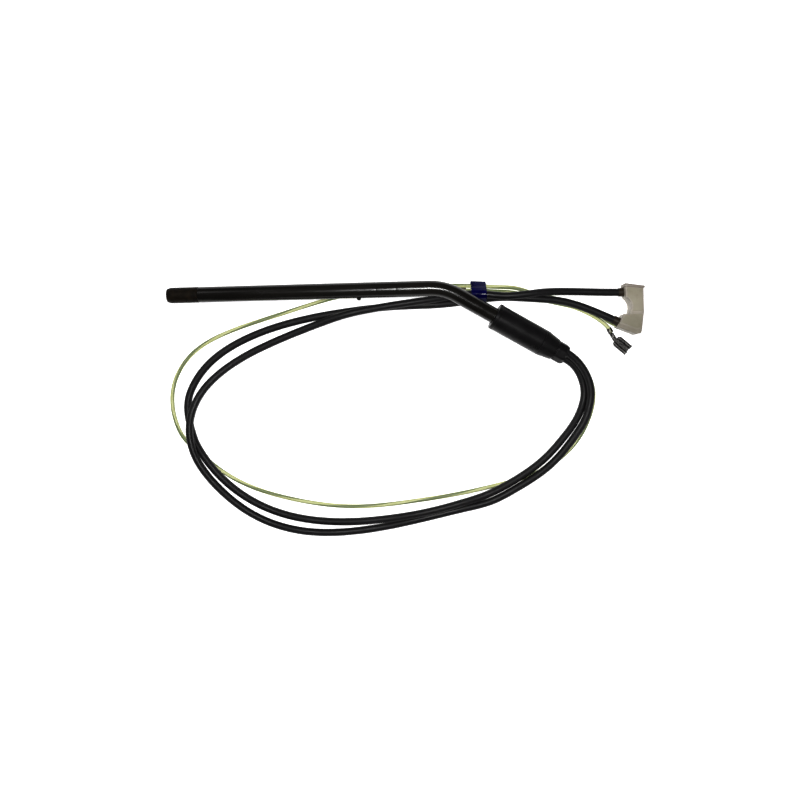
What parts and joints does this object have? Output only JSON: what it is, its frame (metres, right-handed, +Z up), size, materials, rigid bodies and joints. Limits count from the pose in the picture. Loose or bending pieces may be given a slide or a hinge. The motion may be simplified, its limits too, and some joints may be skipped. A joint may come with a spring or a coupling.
{
  "type": "flame sensor probe",
  "caption": "Flame sensor probe: bent sighting tube with a screwed window tip, a round housing with a cable nut, and a loose harness ending in a flat plug and a tab terminal.",
  "frame": {"origin": "under the middle of the rigid probe (tube, tip, housing and nut), at the height of its lowest point", "axes": "+X along the straight part of the tube, from the tip towards the bend; +Z up, square to the plane that the probe lies in"},
  "size_m": [0.3067, 0.1641, 0.02],
  "materials": {
    "tube_paint": "satin black",
    "tip_paint": "matt brown-black",
    "window_glass": "clear",
    "brass": "machined",
    "rubber": "matt dark brown",
    "steel": "plain",
    "tinned_metal": "dull tinned",
    "insulator": "white",
    "lead_red": "red insulation",
    "lead_blue": "blue insulation",
    "housing_plastic": "fine satin black",
    "nut_plastic": "satin black",
    "copper": "copper",
    "cable_jacket": "soft black",
    "earth_insulation": "green with yellow",
    "band_plastic": "deep blue",
    "plug_plastic": "warm grey"
  },
  "bodies": {
    "probe": {"cable_a": "cable_jacket", "cable_b": "cable_jacket", "cable_band": "band_plastic", "cable_core_a": "copper", "cable_core_b": "copper", "cable_grommet": "rubber", "crimp_joint_a": "tinned_metal", "crimp_joint_b": "tinned_metal", "earth_clip": "copper", "earth_core": "copper", "earth_splice": "tinned_metal", "earth_tail": "earth_insulation", "earth_wire": "earth_insulation", "gland_washer": "steel", "housing_body": "housing_plastic", "lead_a": "lead_red", "lead_b": "lead_blue", "lead_spacer": "insulator", "locating_pin": "tube_paint", "plug_body": "plug_plastic", "plug_boot_a": "rubber", "plug_boot_b": "rubber", "plug_contact_a": "tinned_metal", "plug_contact_b": "tinned_metal", "plug_contact_earth": "tinned_metal", "plug_cover": "plug_plastic", "rear_cap": "housing_plastic", "sensor_can": "steel", "sensor_carrier": "insulator", "sensor_header": "tinned_metal", "sight_tube": "tube_paint", "terminal": "tinned_metal", "tube_circlip": "steel", "tube_seal": "rubber"},
    "tip": {"tip_sleeve": "tip_paint", "window": "window_glass", "window_ring": "brass", "window_seal": "rubber"},
    "nut": {"cable_nut": "nut_plastic"}
  },
  "joints": [
    {"name": "tip_turn", "type": "hinge", "parent": "probe", "child": "tip", "pos_m": [-0.1298, 0.0226, 0.005], "axis": [0.9986, 0, 0.0523], "range_deg": [0, 60]},
    {"name": "nut_turn", "type": "hinge", "parent": "probe", "child": "nut", "pos_m": [0.12251, -0.01943, 0.00742], "axis": [0.8653, -0.4945, -0.0818], "range_deg": [0, 90]}
  ]
}
